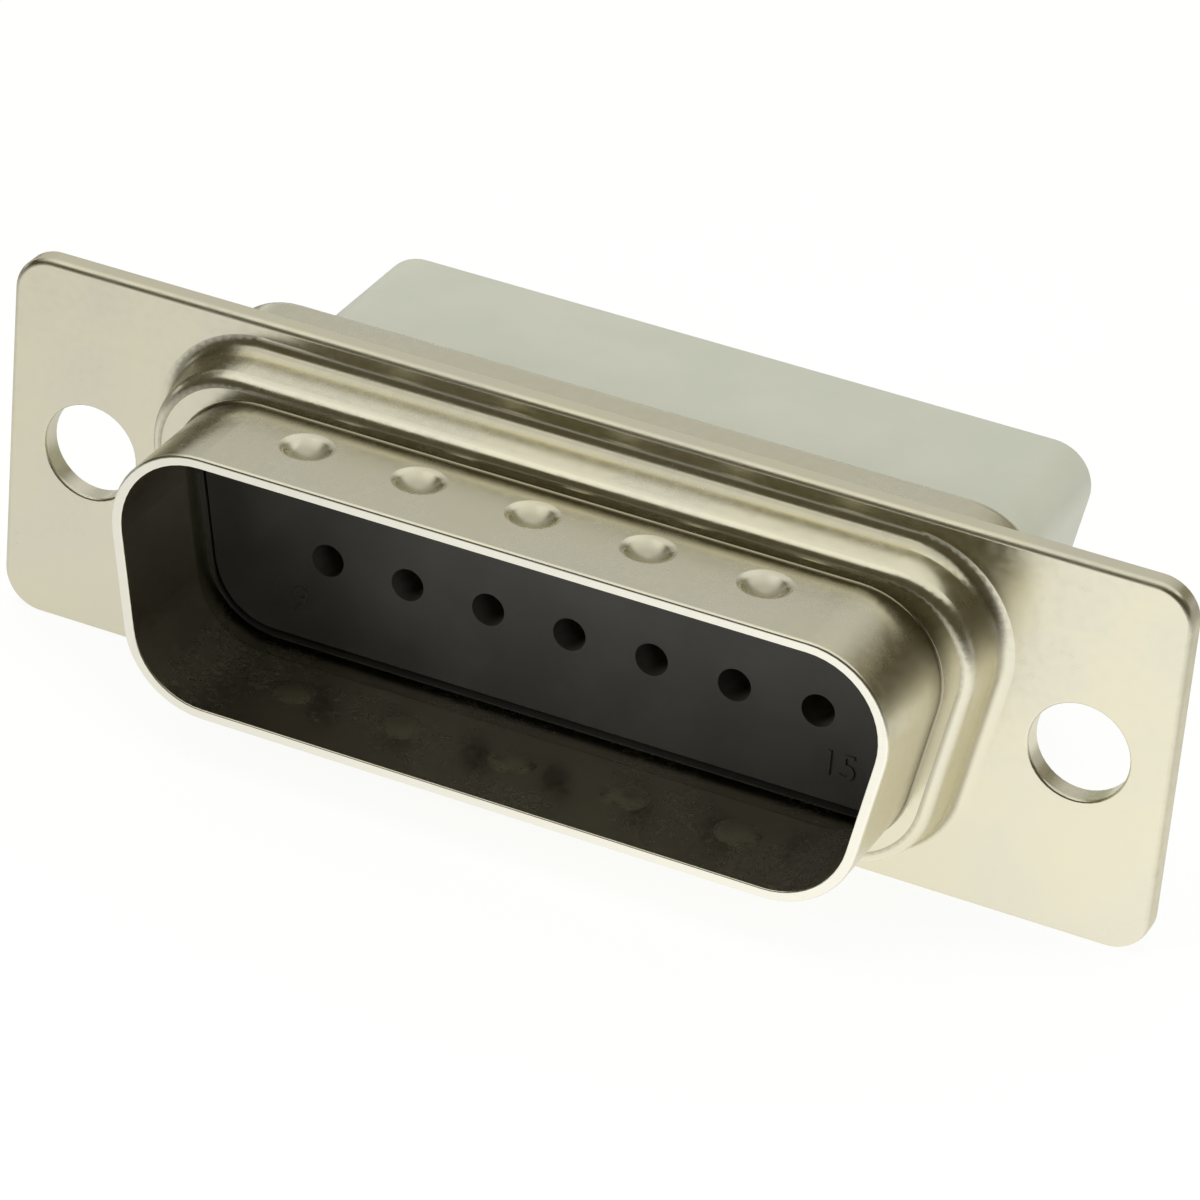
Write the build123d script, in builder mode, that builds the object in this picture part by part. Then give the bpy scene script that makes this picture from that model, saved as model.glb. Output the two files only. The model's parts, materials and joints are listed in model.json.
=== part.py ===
"""Fifteen-way d-sub plug housing of the crimp kind, with its contacts not yet fitted.

Two drawn steel shells lie back to back at their flanges and trap two plastic insulators between
them. Collars drawn from the front flange at its two holes are staked into the rear one. Each of the
fifteen cavities holds a small sprung sleeve that would grip a contact.

Millimetres. X runs along the flange, Y from the mating side to the wire side, and Z up, with the
wide side of the D on top. The origin is the middle of the flange's front face.
"""

import os
from math import asin, degrees, radians, tan

from build123d import *

os.makedirs("parts", exist_ok=True)

# Contact pattern, which the rest of the connector is built round
contact_pitch = 2.77
row_spacing = 2.84
top_row_count = 8

# Slope of the two ends of every D, from the vertical
side_slope = 10.0

# Sheet metal of the two shells
sheet = 0.36
sheet_edge = 0.06
sheet_rollover = 0.2

# Inside of the mating shell: room beyond the contact pattern, corners, and reach from the flange
mating_beside = 1.82
mating_above = 2.68
mating_corner = 2.5
mating_reach = 5.75
rim_inner_rounding = 0.06
rim_flat = 0.2

# Raised step round the foot of the mating shell, with drafted sides and the flat left on its front
step_rise = 1.7
step_draft = 8.5
step_corner = 2.9
step_edge = 0.45
step_foot = 0.5
wall_foot = 0.08
throat_rounding = 0.4
shelf_beside = 0.44
shelf_above = 0.09

# Grounding dimples pressed into the top and bottom of the mating shell, with rounded rims
dimple_count = 5
dimple_inset = 5.36
dimple_radius = 0.75
dimple_depth = 0.32
dimple_rim = 0.3
dimple_bulge = 0.1
dimple_from_flange = 3.3

# Tub of the rear shell: how far it stands past the step's front, and its reach from the flange's front
tub_beside = 0.17
tub_above = 0.28
tub_corner = 2.6
tub_reach = 3.6
tub_edge = 0.45
tub_foot = 0.3

# Flange: mounting holes, the collars round them, and the land beside the tub, at the ends and above
hole_diameter = 3.2
hole_rollover = 0.1
collar_wall = 0.25
collar_flare = 0.15
hole_land = 0.36
end_land = 1.31
edge_land = 0.615
flange_corner = 1.3

# Insulators
insulator_clearance = 0.1
face_proud = 0.08
face_edge = 0.06
face_gap = 0.29
groove_depth = 0.6
seat_lip = 0.2
split_depth = 2.1
block_beside = 1.52
block_above = 2.105
block_corner = 1.4
block_reach = 11.75
block_edge = 0.2
pin_hole_diameter = 1.1
pin_funnel_depth = 0.3
entry_lead_in = 0.22

# Pockets of the retention clips, with the wall between two and the shoulders that trap a clip
pocket_wall = 0.42
funnel_shoulder = 0.275
entry_shoulder = 0.125

# Retention clips, whose tines are cut from the same strip
clip_wall = 0.14
clip_length = 4.8
clip_side_play = 0.05
clip_end_play = 0.2
clip_slit = 0.3
tine_width = 0.6
tine_length = 1.9
tine_lean = 0.32
tine_root_from_rear = 0.9
tine_window_gap = 0.12

# Worked out from the sizes above, from the contacts outwards
bottom_row_count = top_row_count - 1
top_row_length = top_row_count * contact_pitch
mating_width = top_row_length + 2 * mating_beside
mating_height = row_spacing + 2 * mating_above
step_wall = sheet + wall_foot + step_edge
step_width = mating_width + 2 * (step_wall + shelf_beside)
step_height = mating_height + 2 * (step_wall + shelf_above)
step_flare = step_rise * tan(radians(step_draft))
tub_width = step_width + 2 * tub_beside
tub_height = step_height + 2 * tub_above
hole_spacing = tub_width + 2 * (tub_foot + hole_land) + hole_diameter
flange_length = hole_spacing + hole_diameter + 2 * end_land
flange_height = tub_height + 2 * (tub_foot + edge_land)
block_width = top_row_length + 2 * block_beside
block_height = row_spacing + 2 * block_above

flange_back = 2 * sheet
collar_radius = hole_diameter / 2 + collar_wall
tub_floor = tub_reach - sheet
face_depth = sheet - face_proud
rim_outer_rounding = sheet - rim_inner_rounding - rim_flat
dimple_pitch = (mating_width - 2 * dimple_inset) / (dimple_count - 1)
dimple_sphere = (dimple_radius**2 + dimple_depth**2) / (2 * dimple_depth)
bulge_sphere = (dimple_radius**2 + dimple_bulge**2) / (2 * dimple_bulge)
clip_pocket_diameter = contact_pitch - pocket_wall
clip_pocket_depth = clip_length + clip_end_play
clip_diameter = clip_pocket_diameter - 2 * clip_side_play
entry_diameter = clip_pocket_diameter - 2 * entry_shoulder
pin_funnel_diameter = clip_pocket_diameter - 2 * funnel_shoulder


def across(depth):
    """Plane across the connector at a depth behind the flange's front face, facing the mating side."""
    return Plane.XZ.offset(-depth)


def d_outline(width, height, corner, grow=0.0):
    """D shape with its wide side up, rounded corners, and an offset outwards or inwards."""
    lean = height * tan(radians(side_slope))
    with BuildSketch() as outline:
        with BuildLine():
            Polyline(
                (-width / 2, height / 2),
                (width / 2, height / 2),
                (width / 2 - lean, -height / 2),
                (-width / 2 + lean, -height / 2),
                close=True,
            )
        make_face()
        fillet(outline.vertices(), radius=corner)
        if grow:
            offset(amount=grow)
    return outline.sketch


def mating_outline(grow=0.0):
    """Inside of the mating shell."""
    return d_outline(mating_width, mating_height, mating_corner, grow)


def step_outline(grow=0.0):
    """Outside of the raised step at its front."""
    return d_outline(step_width, step_height, step_corner, grow)


def tub_outline(grow=0.0):
    """Outside of the rear shell's tub."""
    return d_outline(tub_width, tub_height, tub_corner, grow)


def block_outline(grow=0.0):
    """Outside of the block that stands out of the tub."""
    return d_outline(block_width, block_height, block_corner, grow)


def flange_outline():
    """Outside of the flange."""
    with BuildSketch() as outline:
        RectangleRounded(flange_length, flange_height, flange_corner)
    return outline.sketch


def screw_circles(radius):
    """A circle at each screw hole."""
    with BuildSketch() as outline:
        with GridLocations(hole_spacing, 0, 2, 1):
            Circle(radius)
    return outline.sketch


def contact_places():
    """Centres of the contacts, along X and Z, in the order of their position numbers."""
    places = []
    for count, height in ((top_row_count, row_spacing / 2), (bottom_row_count, -row_spacing / 2)):
        first = -(count - 1) / 2 * contact_pitch
        places += [(first + step * contact_pitch, height) for step in range(count)]
    return places


def flat_at(builder, depth):
    """The piece's flat face that lies across the connector at this depth."""
    return builder.faces().filter_by(Axis.Y).filter_by_position(Axis.Y, depth - 1e-4, depth + 1e-4)[0]


def round_edges(shape, radius):
    """Edges of a face or a piece that run round at this radius."""
    rounds = shape.edges().filter_by(GeomType.CIRCLE)
    return rounds.filter_by(lambda edge: abs(edge.radius - radius) < 1e-4)


def longest_hole(face):
    """Edges round the largest hole in the face."""
    return face.inner_wires().sort_by(lambda wire: wire.length)[-1].edges()


# Front shell: flange, collars, raised step and mating wall, drawn from one sheet
with BuildPart() as front_shell:
    with BuildSketch(across(0)):
        add(flange_outline())
    extrude(amount=-sheet)
    fillet(flat_at(front_shell, 0).edges(), radius=sheet_rollover)

    for centre in (-hole_spacing / 2, hole_spacing / 2):
        with BuildSketch(Plane.XY):
            with BuildLine():
                Polyline(
                    (centre, sheet),
                    (centre + collar_radius, sheet),
                    (centre + collar_radius, flange_back - collar_flare),
                    (centre + collar_radius + collar_flare, flange_back),
                    (centre, flange_back),
                    close=True,
                )
            make_face()
        revolve(axis=Axis((centre, 0, 0), (0, 1, 0)))
    with BuildSketch(across(0)):
        add(screw_circles(hole_diameter / 2))
    extrude(amount=-flange_back, mode=Mode.SUBTRACT)
    fillet(round_edges(flat_at(front_shell, 0), hole_diameter / 2), radius=hole_rollover)

    with BuildSketch(across(0)):
        add(step_outline(step_flare))
    with BuildSketch(across(-step_rise)):
        add(step_outline())
    loft(ruled=True)
    fillet(flat_at(front_shell, -step_rise).edges(), radius=step_edge)
    fillet(longest_hole(flat_at(front_shell, 0)), radius=step_foot)

    with BuildSketch(across(-step_rise)):
        add(mating_outline(sheet))
    extrude(amount=mating_reach - step_rise)
    fillet(longest_hole(flat_at(front_shell, -step_rise)), radius=wall_foot)

    with BuildSketch(across(sheet)):
        add(step_outline(-sheet))
    extrude(amount=step_rise, mode=Mode.SUBTRACT)
    with BuildSketch(across(sheet)):
        add(mating_outline())
    extrude(amount=mating_reach + sheet, mode=Mode.SUBTRACT)
    fillet(longest_hole(flat_at(front_shell, sheet - step_rise)), radius=throat_rounding)
    fillet(flat_at(front_shell, -mating_reach).outer_wire().edges(), radius=rim_outer_rounding)
    fillet(longest_hole(flat_at(front_shell, -mating_reach)), radius=rim_inner_rounding)

    wall_inside = mating_height / 2
    dimple_centre = wall_inside + sheet - dimple_depth + dimple_sphere
    bulge_centre = wall_inside - dimple_bulge + bulge_sphere
    bulge_latitude = degrees(asin((bulge_centre - wall_inside - sheet / 2) / bulge_sphere))
    for side, turn in ((1, 0), (-1, 180)):
        with Locations((0, -dimple_from_flange, side * bulge_centre)):
            with GridLocations(dimple_pitch, 0, dimple_count, 1):
                Sphere(
                    bulge_sphere,
                    arc_size1=-90,
                    arc_size2=-bulge_latitude,
                    rotation=(turn, 0, 0),
                    align=Align.NONE,
                )
        with Locations((0, -dimple_from_flange, side * dimple_centre)):
            with GridLocations(dimple_pitch, 0, dimple_count, 1):
                Sphere(dimple_sphere, mode=Mode.SUBTRACT)
    fillet(round_edges(front_shell, dimple_radius), radius=dimple_rim)

# Rear shell: flange with flared seats for the collars, and tub with an opening for the insulator
with BuildPart() as rear_shell:
    with BuildSketch(across(sheet)):
        add(flange_outline())
        add(screw_circles(collar_radius), mode=Mode.SUBTRACT)
    extrude(amount=-sheet)
    chamfer(round_edges(flat_at(rear_shell, flange_back), collar_radius), length=collar_flare)
    fillet(flat_at(rear_shell, flange_back).outer_wire().edges(), radius=sheet_edge)

    with BuildSketch(across(flange_back)):
        add(tub_outline())
    extrude(amount=-(tub_reach - flange_back))
    fillet(flat_at(rear_shell, tub_reach).edges(), radius=tub_edge)
    fillet(longest_hole(flat_at(rear_shell, flange_back)), radius=tub_foot)

    with BuildSketch(across(sheet)):
        add(tub_outline(-sheet))
    extrude(amount=-(tub_floor - sheet), mode=Mode.SUBTRACT)
    with BuildSketch(across(tub_floor)):
        add(block_outline(insulator_clearance))
    extrude(amount=-sheet, mode=Mode.SUBTRACT)

# Front insulator: a plate in the tub, and a face inside a groove, seen through the mating shell.
# The lip outside the groove bears on the back of the front sheet.
with BuildPart() as front_insulator:
    with BuildSketch(across(sheet)):
        add(tub_outline(-sheet - insulator_clearance))
    extrude(amount=-(split_depth - sheet))
    with BuildSketch(across(sheet)):
        add(tub_outline(-sheet - insulator_clearance - seat_lip))
        add(step_outline(-sheet - face_gap), mode=Mode.SUBTRACT)
    extrude(amount=-groove_depth, mode=Mode.SUBTRACT)
    with BuildSketch(across(sheet)):
        add(step_outline(-sheet - face_gap))
    extrude(amount=sheet - face_depth)
    fillet(flat_at(front_insulator, face_depth).edges(), radius=face_edge)
    for x, z in contact_places():
        with BuildSketch(across(face_depth)):
            with Locations((x, z)):
                Circle(pin_hole_diameter / 2)
        extrude(amount=-(split_depth - face_depth), mode=Mode.SUBTRACT)
        with BuildSketch(across(split_depth)):
            with Locations((x, z)):
                Circle(pin_funnel_diameter / 2)
        with BuildSketch(across(split_depth - pin_funnel_depth)):
            with Locations((x, z)):
                Circle(pin_hole_diameter / 2)
        loft(mode=Mode.SUBTRACT)

# Rear insulator: a plate in the tub and the block with the wire entries
with BuildPart() as rear_insulator:
    with BuildSketch(across(split_depth)):
        add(tub_outline(-sheet - insulator_clearance))
    extrude(amount=-(tub_floor - split_depth))
    with BuildSketch(across(tub_floor)):
        add(block_outline())
    extrude(amount=-(block_reach - tub_floor))
    fillet(flat_at(rear_insulator, block_reach).edges(), radius=block_edge)
    for x, z in contact_places():
        with BuildSketch(across(split_depth)):
            with Locations((x, z)):
                Circle(clip_pocket_diameter / 2)
        extrude(amount=-clip_pocket_depth, mode=Mode.SUBTRACT)
        with BuildSketch(across(split_depth + clip_pocket_depth)):
            with Locations((x, z)):
                Circle(entry_diameter / 2)
        extrude(amount=-(block_reach - split_depth - clip_pocket_depth), mode=Mode.SUBTRACT)
        with BuildSketch(across(block_reach)):
            with Locations((x, z)):
                Circle(entry_diameter / 2 + entry_lead_in)
        with BuildSketch(across(block_reach - entry_lead_in)):
            with Locations((x, z)):
                Circle(entry_diameter / 2)
        loft(mode=Mode.SUBTRACT)

# One retention clip, on the Y axis with its front end at zero: a slit sleeve with two tines
with BuildPart() as clip_shape:
    clip_inside = clip_diameter / 2 - clip_wall
    tine_root = clip_length - tine_root_from_rear
    tine_tip = tine_root - tine_length
    with BuildSketch(across(0)):
        Circle(clip_diameter / 2)
        Circle(clip_inside, mode=Mode.SUBTRACT)
        with Locations((0, clip_diameter / 2)):
            Rectangle(clip_slit, clip_diameter, mode=Mode.SUBTRACT)
    extrude(amount=-clip_length)
    window_width = tine_width + 2 * tine_window_gap
    for side in (-1, 1):
        with Locations((side * clip_diameter / 2, (tine_root + tine_tip) / 2, 0)):
            Box(clip_diameter / 2, tine_length, window_width, mode=Mode.SUBTRACT)
        root_radius = (clip_inside**2 - (tine_width / 2) ** 2) ** 0.5
        tip_radius = root_radius - tine_lean
        with BuildSketch(Plane.XY):
            with BuildLine():
                Polyline(
                    (side * root_radius, tine_root + tine_window_gap),
                    (side * (root_radius + clip_wall), tine_root + tine_window_gap),
                    (side * (root_radius + clip_wall), tine_root),
                    (side * (tip_radius + clip_wall), tine_tip),
                    (side * tip_radius, tine_tip),
                    (side * root_radius, tine_root),
                    close=True,
                )
            make_face()
        extrude(amount=tine_width / 2, both=True)

named_parts = {
    "front_shell": front_shell.part,
    "rear_shell": rear_shell.part,
    "front_insulator": front_insulator.part,
    "rear_insulator": rear_insulator.part,
}

for number, (x, z) in enumerate(contact_places(), start=1):
    with BuildPart() as retention_clip:
        with Locations((x, split_depth, z)):
            add(clip_shape.part)
    named_parts[f"retention_clip_{number:02d}"] = retention_clip.part

for name, part in named_parts.items():
    part.label = name
    export_step(part, f"parts/{name}.step")
    print(name, "solids", len(part.solids()), "volume", round(part.volume, 3))
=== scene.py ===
# %% [markdown]
# A d-sub plug housing, dressed from its frame
#
# The real object is a small connector: two nickel-plated steel shells, back to back, that hold two
# plastic insulators and fifteen sprung clips. The frame brings every one of those pieces at its real
# size. This lesson gives them their finishes, adds the numbers that are moulded or marked beside the
# contact holes, and sets up the floor, the light and the camera.

# %% Load the frame and keep its box
import json
import math

import bpy
from mathutils import Matrix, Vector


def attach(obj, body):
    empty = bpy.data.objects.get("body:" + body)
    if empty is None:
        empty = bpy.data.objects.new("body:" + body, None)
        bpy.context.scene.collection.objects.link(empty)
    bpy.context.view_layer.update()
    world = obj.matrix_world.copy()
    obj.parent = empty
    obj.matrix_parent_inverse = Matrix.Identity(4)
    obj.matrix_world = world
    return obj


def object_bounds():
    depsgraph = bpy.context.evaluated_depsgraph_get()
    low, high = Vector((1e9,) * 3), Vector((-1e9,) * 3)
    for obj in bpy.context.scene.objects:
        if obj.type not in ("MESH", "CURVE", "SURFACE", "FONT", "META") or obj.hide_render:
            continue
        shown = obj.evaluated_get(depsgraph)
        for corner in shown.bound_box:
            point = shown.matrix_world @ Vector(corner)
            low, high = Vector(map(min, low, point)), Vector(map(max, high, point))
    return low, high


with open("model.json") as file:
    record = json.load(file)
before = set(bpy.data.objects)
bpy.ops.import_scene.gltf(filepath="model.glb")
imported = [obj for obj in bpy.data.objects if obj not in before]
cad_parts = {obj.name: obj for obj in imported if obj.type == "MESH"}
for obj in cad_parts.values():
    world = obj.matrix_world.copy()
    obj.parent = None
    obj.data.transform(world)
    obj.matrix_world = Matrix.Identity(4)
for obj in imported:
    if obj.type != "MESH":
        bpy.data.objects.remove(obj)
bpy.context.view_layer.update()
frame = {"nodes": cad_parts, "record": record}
nodes = frame["nodes"]


mm = 0.001
print("Pieces in the frame:", len(nodes))

# %% [markdown]
# Places on the connector
#
# The finishes need to know where some parts of the shells are, such as the rim and the dimples. All of
# these are in millimetres. The depth runs from the flange's front face, and is negative in front of it.
# What can be read from the frame is read, so that it can't disagree with the model.

# %% Measure the shell
lowest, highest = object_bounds()
flange_half_width = highest.x / mm
flange_half_height = highest.z / mm
rim_depth = lowest.y / mm
block_depth = highest.y / mm
step_depth = -1.7
dimple_depth = -3.3
dimple_pitch = 3.77
dimple_row_end = 8.6
print("Rim and block, from the flange's front:", round(rim_depth, 2), round(block_depth, 2))

# %% [markdown]
# The camera
#
# The photograph was taken from in front, a little to the right and from above, with a long lens. The
# camera could be guessed by eye, but its place was worked out from the object's known sizes instead:
# the flange and the contact pitch are standard, so a pinhole camera can be fitted to them. The lens
# is long, so the far end of the connector looks hardly smaller than the near one.

# %% Place the camera
camera_place = (61.5 * mm, -145.99 * mm, 90.3 * mm)
camera_turn = (60.607, -4.583, 25.096)
camera_lens = 180.0
camera_shift = (-0.0019, -0.0335)

bpy.ops.object.camera_add(
    location=camera_place,
    rotation=[math.radians(angle) for angle in camera_turn],
)
camera = bpy.context.object
camera.name = "photo_camera"
camera.data.lens = camera_lens
camera.data.shift_x, camera.data.shift_y = camera_shift
camera.data.clip_start = 5 * mm
bpy.context.scene.camera = camera
print("Camera distance in mm:", round(camera.location.length / mm))

# %% [markdown]
# Shader maths
#
# A material is a graph of nodes, and a long graph is hard to read when each node takes four lines of
# code. Wrapping a socket in a small class lets plain arithmetic stand for the Math nodes, so that a
# formula looks like a formula. Every other kind of node comes from one method, which takes the
# node's type, its settings and what goes into its sockets.

# %% Wrap a socket
class Wire:
    """An output socket in a node tree, on which arithmetic adds Math nodes."""

    def __init__(self, tree, socket=None):
        self.tree = tree
        self.socket = socket

    def node(self, kind, inputs=(), output=0, **settings):
        """Add a node, set it up, feed its sockets, and return the wire of one of its outputs."""
        made = self.tree.nodes.new(kind)
        for name, value in settings.items():
            setattr(made, name, value)
        for name, value in dict(inputs).items():
            if isinstance(value, Wire):
                self.tree.links.new(value.socket, made.inputs[name])
            else:
                made.inputs[name].default_value = value
        return Wire(self.tree, made.outputs[output]) if len(made.outputs) else made

    def math(self, operation, *values):
        """Add a Math node that works on these numbers or wires."""
        return self.node("ShaderNodeMath", dict(enumerate(values)), operation=operation)

    def __add__(self, other):
        return self.math("ADD", self, other)

    def __sub__(self, other):
        return self.math("SUBTRACT", self, other)

    def __rsub__(self, other):
        return self.math("SUBTRACT", other, self)

    def __mul__(self, other):
        return self.math("MULTIPLY", self, other)

    def __mod__(self, other):
        return self.math("MODULO", self, other)

    def __abs__(self):
        return self.math("ABSOLUTE", self)

    __radd__ = __add__
    __rmul__ = __mul__


# %% [markdown]
# Helpers for any shader
#
# Three small jobs come up in every graph here: taking a vector apart, fading from nothing to all
# between two values, and going from one colour to another. The fade is smooth, so that no mark on the
# metal starts with a hard line.

# %% Take apart, fade and blend
def split(vector):
    """The X, Y and Z of a vector, as three wires."""
    outputs = vector.node("ShaderNodeSeparateXYZ", {"Vector": vector}).socket.node.outputs
    return [Wire(vector.tree, outputs[axis]) for axis in "XYZ"]


def between(value, low, high):
    """A wire that climbs smoothly from 0 to 1 as the value goes from low to high."""
    inputs = {"Value": value, "From Min": low, "From Max": high}
    return value.node("ShaderNodeMapRange", inputs, interpolation_type="SMOOTHSTEP")


def blend_colours(factor, first, second):
    """A colour between two others."""
    inputs = {"Factor": factor, 6: first, 7: second}
    return factor.node("ShaderNodeMix", inputs, output=2, data_type="RGBA")


# %% [markdown]
# The studio
#
# Polished metal shows its surroundings more than its own colour, so the surroundings need as much
# thought as the object. The photographer's side of the room is dark, and that dark end is what draws
# the dark lines along the folds of the shells. The far side is a dull grey, paler on the left, the
# ceiling is bright, and one soft box hangs high in front on the left, where every rounded edge picks
# it up. Far away, a pale band stands on the floor. One world shader can hold all of it, with a
# direction for each part.

# %% Light from the world
def make_world():
    """A dark end in front, a grey far side, a bright ceiling, a soft box and a pale far horizon."""
    world = bpy.data.worlds.new("studio")
    world.use_nodes = True
    world.node_tree.nodes.clear()
    x, y, z = split(Wire(world.node_tree).node("ShaderNodeTexCoord", output="Generated"))

    front_level, left_level, right_level, ceiling_level = 0.08, 0.52, 0.24, 0.88
    to_left = 1 - between(x, -0.35, 0.1)
    far_side = right_level + to_left * (left_level - right_level)
    walls = front_level + between(y, 0.15, 0.65) * (far_side - front_level)
    ceiling = between(z + y * 0.2, 0.67, 0.82)
    room = walls * (1 - ceiling) + ceiling * ceiling_level

    box_level, box_edge, box_core = 1.05, math.radians(27), math.radians(15)
    box_azimuth, box_height = math.radians(-55), math.radians(62)
    box_x = math.sin(box_azimuth) * math.cos(box_height)
    box_y = -math.cos(box_azimuth) * math.cos(box_height)
    nearness = x * box_x + y * box_y + z * math.sin(box_height)
    softbox = between(nearness, math.cos(box_edge), math.cos(box_core))

    horizon_level, horizon_low, horizon_high = 0.9, math.radians(5), math.radians(9)
    low_down = 1 - between(z, math.sin(horizon_low), math.sin(horizon_high))
    horizon = low_down * between(y, -0.35, 0.0)

    level = room * (1 - softbox) * (1 - horizon) + softbox * box_level + horizon * horizon_level
    tint = blend_colours(between(level, 0.1, 0.5), (1.0, 0.88, 0.55, 1), (1, 1, 0.97, 1))
    background = level.node("ShaderNodeBackground", {"Color": tint, "Strength": level})
    background.node("ShaderNodeOutputWorld", {"Surface": background})
    return world


bpy.context.scene.world = make_world()
bpy.context.scene.view_settings.view_transform = "Standard"
print("World:", bpy.context.scene.world.name)

# %% [markdown]
# The floor
#
# The connector stands on the lower edges of its flange. A plane is all a floor needs. To come out
# white in the picture without pouring more light on the object, its material gives off its own
# white, but only to the camera and to reflections. The front of the flange mirrors the floor, and is
# brighter at its right end than at its left, so the white that reflections see grows towards the
# right, and it fades where the paper ends.

# %% Lay the floor
def make_floor():
    """A pale floor at the lowest point of the frame."""
    bpy.ops.mesh.primitive_plane_add(size=3.0, location=(0, 0, lowest.z))
    floor = bpy.context.object
    floor.name = "floor"
    finish = bpy.data.materials.new("floor_white")
    finish.use_nodes = True
    finish.node_tree.nodes.clear()
    start = Wire(finish.node_tree)
    light_path = start.node("ShaderNodeLightPath").socket.node.outputs
    camera_ray, glossy_ray, through_ray = (
        Wire(finish.node_tree, light_path[name])
        for name in ("Is Camera Ray", "Is Glossy Ray", "Is Transmission Ray")
    )
    own_white = 0.85
    share = (camera_ray + glossy_ray + through_ray) * own_white

    place = start.node("ShaderNodeTexCoord", output="Object")
    x, _, _ = split(place)
    distance = place.node("ShaderNodeVectorMath", {0: place}, output="Value", operation="LENGTH")
    dull_left, gain, beyond_paper = 0.67, 0.31, 0.2
    to_right = between(x, -30 * mm, 26 * mm)
    past_paper = between(distance, 34 * mm, 70 * mm)
    paper = (dull_left + gain * to_right) * (1 - (1 - beyond_paper) * past_paper)
    picture_white = 1.05
    strength = camera_ray * picture_white + (1 - camera_ray) * paper * (1 / own_white)

    pale = start.node("ShaderNodeBsdfDiffuse", {"Color": (0.86, 0.86, 0.85, 1)})
    glow = start.node("ShaderNodeEmission", {"Color": (1, 1, 0.99, 1), "Strength": strength})
    mixed = start.node("ShaderNodeMixShader", {0: share, 1: pale, 2: glow})
    start.node("ShaderNodeOutputMaterial", {"Surface": mixed})
    floor.data.materials.append(finish)


make_floor()
print("Floor in mm below the flange's middle:", round(-lowest.z / mm, 2))

# %% [markdown]
# Light for the plastics
#
# The dark room that suits the metal leaves plastic too dim. Three area lamps bring the plastics up to
# a plain level at which a colour comes out about as it is written. They are left out of the
# reflections, so they don't wash out the dark lines on the steel.

# %% Hang the lamps
def make_lamp(name, place, size, power):
    """A square area lamp that looks at the origin and isn't mirrored in the metal."""
    bpy.ops.object.light_add(type="AREA", location=place)
    lamp = bpy.context.object
    lamp.name = name
    lamp.data.size = size
    lamp.data.energy = power
    lamp.visible_glossy = False
    lamp.rotation_euler = (-lamp.location).to_track_quat("-Z", "Y").to_euler()


make_lamp("overhead", (-0.02, -0.04, 0.40), 0.30, 0.30)
make_lamp("front_right", (0.30, -0.20, 0.16), 0.25, 0.60)
make_lamp("front_left", (-0.30, -0.28, 0.11), 0.20, 1.00)
print("Lamps:", ", ".join(light.name for light in bpy.data.lights))

# %% [markdown]
# Start of a finish
#
# All the finishes here start alike: an empty material with a principled shader, and the object's own
# coordinates turned into millimetres, so that every grain and speck can be given its real size.

# %% Shared start of a material
def new_finish(name):
    """A cleared material, and its object coordinates in millimetres."""
    finish = bpy.data.materials.new(name)
    finish.use_nodes = True
    finish.node_tree.nodes.clear()
    place = Wire(finish.node_tree).node("ShaderNodeTexCoord", output="Object")
    inputs = {0: place, "Scale": 1 / mm}
    return finish, place.node("ShaderNodeVectorMath", inputs, operation="SCALE")


def stretched(place, scale):
    """Coordinates scaled by a different amount along each axis."""
    return place.node("ShaderNodeMapping", {"Vector": place, "Scale": scale})


def noise(place, scale, detail=2.0):
    """Soft noise with so many bumps to the millimetre."""
    inputs = {"Vector": place, "Scale": scale, "Detail": detail}
    return place.node("ShaderNodeTexNoise", inputs, output="Fac")


def bump(height, distance):
    """Normals tilted by a height, where 1 stands for this distance in millimetres."""
    inputs = {"Height": height, "Distance": distance * mm, "Strength": 1.0}
    return height.node("ShaderNodeBump", inputs)


def finish_off(inputs):
    """Join a principled shader with these inputs to the material's output."""
    start = next(value for value in inputs.values() if isinstance(value, Wire))
    shader = start.node("ShaderNodeBsdfPrincipled", inputs)
    start.node("ShaderNodeOutputMaterial", {"Surface": shader})


# %% [markdown]
# Painted shade in the folds
#
# The colour of the plating is darkened as painted shade where shade falls in a fold: along the foot
# of the mating wall, along the foot of the step, and in the struck dimples. Those places could be
# painted on a map, but the folds run round the D at one depth, and the dimples stand in a row with an
# even pitch, so a few formulas on the coordinates find them all. Only surfaces that face outwards
# count.

# %% Find the folds and dimples
def find_dimples(across, depth):
    """A wire that is 1 in each dimple of the row, and 0 away from them."""
    middle_offset = 10.5 * dimple_pitch
    from_middle = (across + middle_offset) % dimple_pitch - dimple_pitch / 2
    from_row = depth - dimple_depth
    distance = from_row.math("SQRT", from_middle * from_middle + from_row * from_row)
    dark_core, dark_end, row_fade = 0.3, 0.8, 0.4
    in_row = 1 - between(abs(across), dimple_row_end, dimple_row_end + row_fade)
    return (1 - between(distance, dark_core, dark_end)) * in_row


def find_folds(depth, flat):
    """A wire that is 1 at the foot of the mating wall, and nearly 1 at the foot of the step."""
    before_step = between(depth, step_depth - 1.2, step_depth - 0.1)
    past_step = between(depth, step_depth - 0.02, step_depth + 0.04)
    before_flange = between(depth, -0.45, -0.1)
    past_flange = between(depth, 0.0, 0.04)
    step_foot_share = 0.8
    step_foot = before_flange * (1 - past_flange) * (1 - flat) * step_foot_share
    return before_step * (1 - past_step) + step_foot
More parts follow.
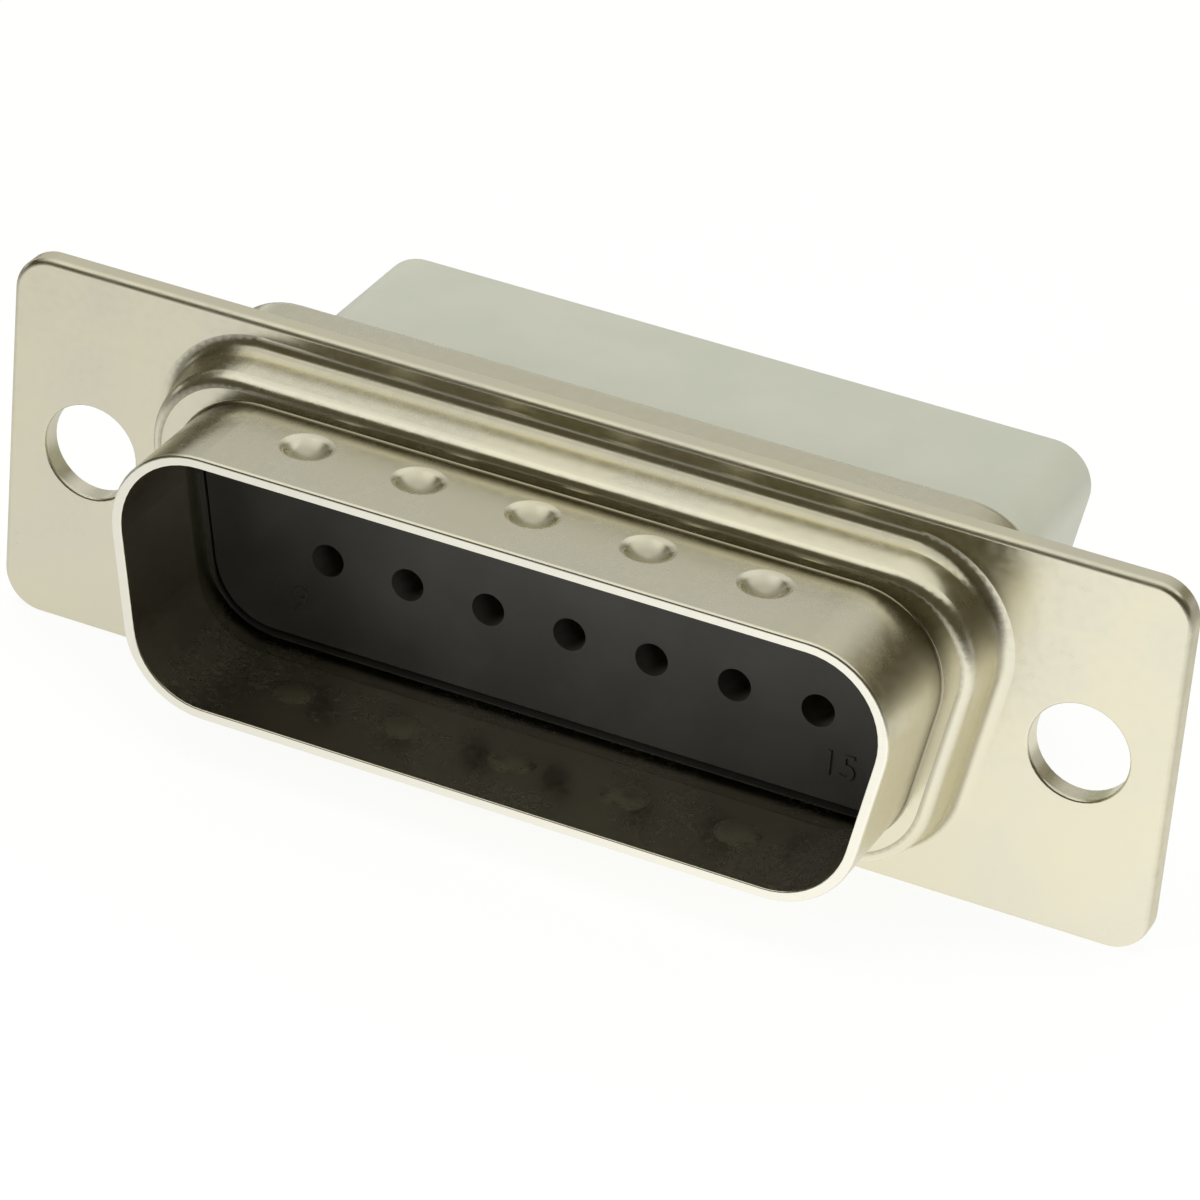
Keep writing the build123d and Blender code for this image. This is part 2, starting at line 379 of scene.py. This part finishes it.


# %% [markdown]
# Nickel-plated steel
#
# The shells are drawn from thin steel strip and then plated. The plating is bright but not quite a
# mirror, a little warm, and slightly uneven. Rolling leaves faint lines along the flat flange, and
# drawing leaves them along the walls, in the direction in which the metal was pulled. Round the
# outside of the flange the strip was sheared off, and the cut edge is duller, with fine lines across
# the thickness. The rim of the mating wall is given a paler colour, a painted highlight. Walls that
# face the two ends are given a darker colour, a painted shade, and are also a little rougher.

# %% Plated steel
def plated_steel():
    """Semi-bright nickel on drawn steel strip."""
    finish, place = new_finish("plated_steel")
    across, depth, upright = split(place)
    aside, along, above = split(place.node("ShaderNodeTexCoord", output="Normal"))
    flat = between(abs(along), 0.6, 0.9)
    end_facing = between(abs(aside), 0.5, 0.95)
    outward = between(across * aside + upright * above, 0.0, 1.0)

    patches = between(noise(place, 0.22), 0.35, 0.65)
    specks = between(noise(place, 3.0, 4.0), 0.35, 0.7)
    dimples = find_dimples(across, depth)
    # Painted shade: the colour is darkened along the folds and in the dimples, where shade falls.
    painted_fold_shade = (find_folds(depth, flat) + dimples * 0.6) * outward
    # Painted highlight: the rim of the mating wall is given a paler colour.
    rim = (1 - between(depth, rim_depth + 0.03, rim_depth + 0.09)) * flat
    colour = blend_colours(patches, (0.80, 0.76, 0.58, 1), (0.78, 0.745, 0.60, 1))
    # Painted shade: walls that face the two ends get a darker colour.
    colour = blend_colours(end_facing, colour, (0.68, 0.64, 0.49, 1))
    # Painted shade in the folds and dimples, on outward faces only.
    colour = blend_colours(painted_fold_shade, colour, (0.36, 0.33, 0.235, 1))
    # Painted highlight on the rim.
    colour = blend_colours(rim, colour, (0.94, 0.915, 0.80, 1))

    edge_inner, edge_outer = 0.22, 0.10
    at_ends = between(abs(across), flange_half_width - edge_inner, flange_half_width - edge_outer)
    at_sides = between(abs(upright), flange_half_height - edge_inner, flange_half_height - edge_outer)
    edge = at_ends.math("MAXIMUM", at_ends, at_sides)
    sheared = edge * (1 - flat)
    rolled_lines = noise(stretched(place, (0.08, 4.0, 4.0)), 1.5, 3.0)
    drawn_lines = noise(stretched(place, (3.0, 0.12, 3.0)), 1.5, 3.0)
    torn_lines = noise(stretched(place, (5.0, 0.4, 5.0)), 2.5, 3.0)
    unsheared_lines = rolled_lines * flat + drawn_lines * (1 - flat)
    grain = unsheared_lines * (1 - sheared) + torn_lines * sheared * 2.2
    wear = end_facing * 0.1 + dimples * 0.08 + edge * 0.18
    finish_off({
        "Base Color": colour,
        "Metallic": 1.0,
        "Roughness": 0.17 + patches * 0.05 + specks * 0.06 + (1 - flat) * 0.03 + wear,
        "Normal": bump(grain * 0.6 + noise(place, 1.1, 2.0) * 0.8, 0.004),
    })
    return finish


# %% [markdown]
# Moulded plastics
#
# Both insulators are moulded in a glass-filled plastic with a satin surface. The one in front is
# dark grey, and the one behind is a pale grey-green. Under light, such plastic is told from paint by
# its very fine, even roughness and by faint cloudiness where it flowed into the mould.

# %% Dark and pale plastic
def moulded_plastic(name, light, deep, roughness, grain):
    """Satin moulded plastic, clouded between two colours."""
    finish, place = new_finish(name)
    clouds = between(noise(place, 0.35, 3.0), 0.3, 0.7)
    fine = noise(place, 14.0, 3.0)
    finish_off({
        "Base Color": blend_colours(clouds, light, deep),
        "Roughness": roughness + fine * 0.12,
        "Normal": bump(fine, grain),
    })
    return finish


# %% [markdown]
# Spring strip
#
# The clips are rolled from thin copper-alloy strip. They hide inside the block and only glint in the
# wire entries, so a warm metal with rolling lines along it is enough.

# %% Clip metal
def clip_metal():
    """Rolled copper-alloy spring strip."""
    finish, place = new_finish("clip_metal")
    lines = noise(stretched(place, (6.0, 0.3, 6.0)), 2.0)
    finish_off({
        "Base Color": blend_colours(lines, (0.74, 0.54, 0.30, 1), (0.64, 0.44, 0.24, 1)),
        "Metallic": 1.0,
        "Roughness": 0.25 + lines * 0.12,
        "Normal": bump(lines, 0.003),
    })
    return finish


# %% [markdown]
# Marking ink
#
# The numbers on the back of the block are printed, thin and a little uneven, so their grey wanders
# between two shades. They have no gloss of their own to speak of.

# %% Ink of the marks
def number_ink():
    """Grey of the marks on the pale block."""
    finish, place = new_finish("number_ink")
    fading = between(noise(place, 2.2, 3.0), 0.3, 0.7)
    finish_off({
        "Base Color": blend_colours(fading, (0.16, 0.16, 0.14, 1), (0.26, 0.265, 0.23, 1)),
        "Roughness": 0.55,
    })
    return finish


# %% [markdown]
# Dressing the pieces
#
# The record names a material for each piece of the frame. Only the material in each slot is swapped,
# because the shapes are right as they are.

# %% Give each piece its finish
finishes = {
    "plated_steel": plated_steel(),
    "dark_plastic": moulded_plastic(
        "dark_plastic", (0.052, 0.051, 0.046, 1), (0.040, 0.039, 0.036, 1), 0.38, 0.004
    ),
    "pale_plastic": moulded_plastic(
        "pale_plastic", (0.60, 0.61, 0.51, 1), (0.57, 0.585, 0.485, 1), 0.36, 0.004
    ),
    "clip_copper_alloy": clip_metal(),
}
for subpart in frame["record"]["subparts"]:
    node = nodes[subpart["node"]]
    for slot in node.material_slots:
        slot.material = finishes[subpart["material_slot"]]
print("Finishes:", ", ".join(finishes))

# %% [markdown]
# Position numbers
#
# The contacts at the ends of the two rows are numbered on both faces of such a housing: moulded in
# front, and marked lightly behind. Each number is a text object, made into a mesh while it still lies
# at the origin. Then its points are turned and moved to the face, so that the object itself stays at
# the origin with the rest.

# %% Put the numbers on
def add_numbers(name, marks, depth, turn, height, proud, finish):
    """Small raised numbers on a face that lies across the connector at this depth."""
    made = []
    for body, x, z in marks:
        bpy.ops.object.text_add(location=(0, 0, 0))
        number = bpy.context.object
        number.data.body = body
        number.data.size = height * mm
        number.data.extrude = proud * mm
        number.data.resolution_u = 4
        number.data.align_x = "CENTER"
        number.data.align_y = "CENTER"
        bpy.ops.object.convert(target="MESH")
        upright = Matrix.Rotation(math.radians(90), 4, "X")
        facing = Matrix.Rotation(math.radians(turn), 4, "Z")
        number.data.transform(Matrix.Translation((x * mm, depth * mm, z * mm)) @ facing @ upright)
        made.append(number)
    bpy.ops.object.select_all(action="DESELECT")
    for number in made:
        number.select_set(True)
    bpy.context.view_layer.objects.active = made[0]
    bpy.ops.object.join()
    numbers = bpy.context.object
    numbers.name = name
    numbers.data.materials.clear()
    numbers.data.materials.append(finish)
    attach(numbers, "root")
    return numbers


front_depth = 0.28
front_marks = [("1", -10.6, 3.05), ("8", 10.6, 3.05), ("9", -9.15, -3.1), ("15", 9.15, -3.1)]
moulded = finishes["dark_plastic"]
front_numbers = add_numbers("front_numbers", front_marks, front_depth, 0, 1.25, 0.05, moulded)

rear_marks = [("1", -11.65, 1.42), ("8", 11.65, 1.42), ("9", -10.55, -1.42), ("15", 10.55, -1.42)]
rear_numbers = add_numbers("rear_numbers", rear_marks, block_depth, 180, 1.0, 0.005, number_ink())
print("Numbers:", len(front_marks), "in front,", len(rear_marks), "behind")
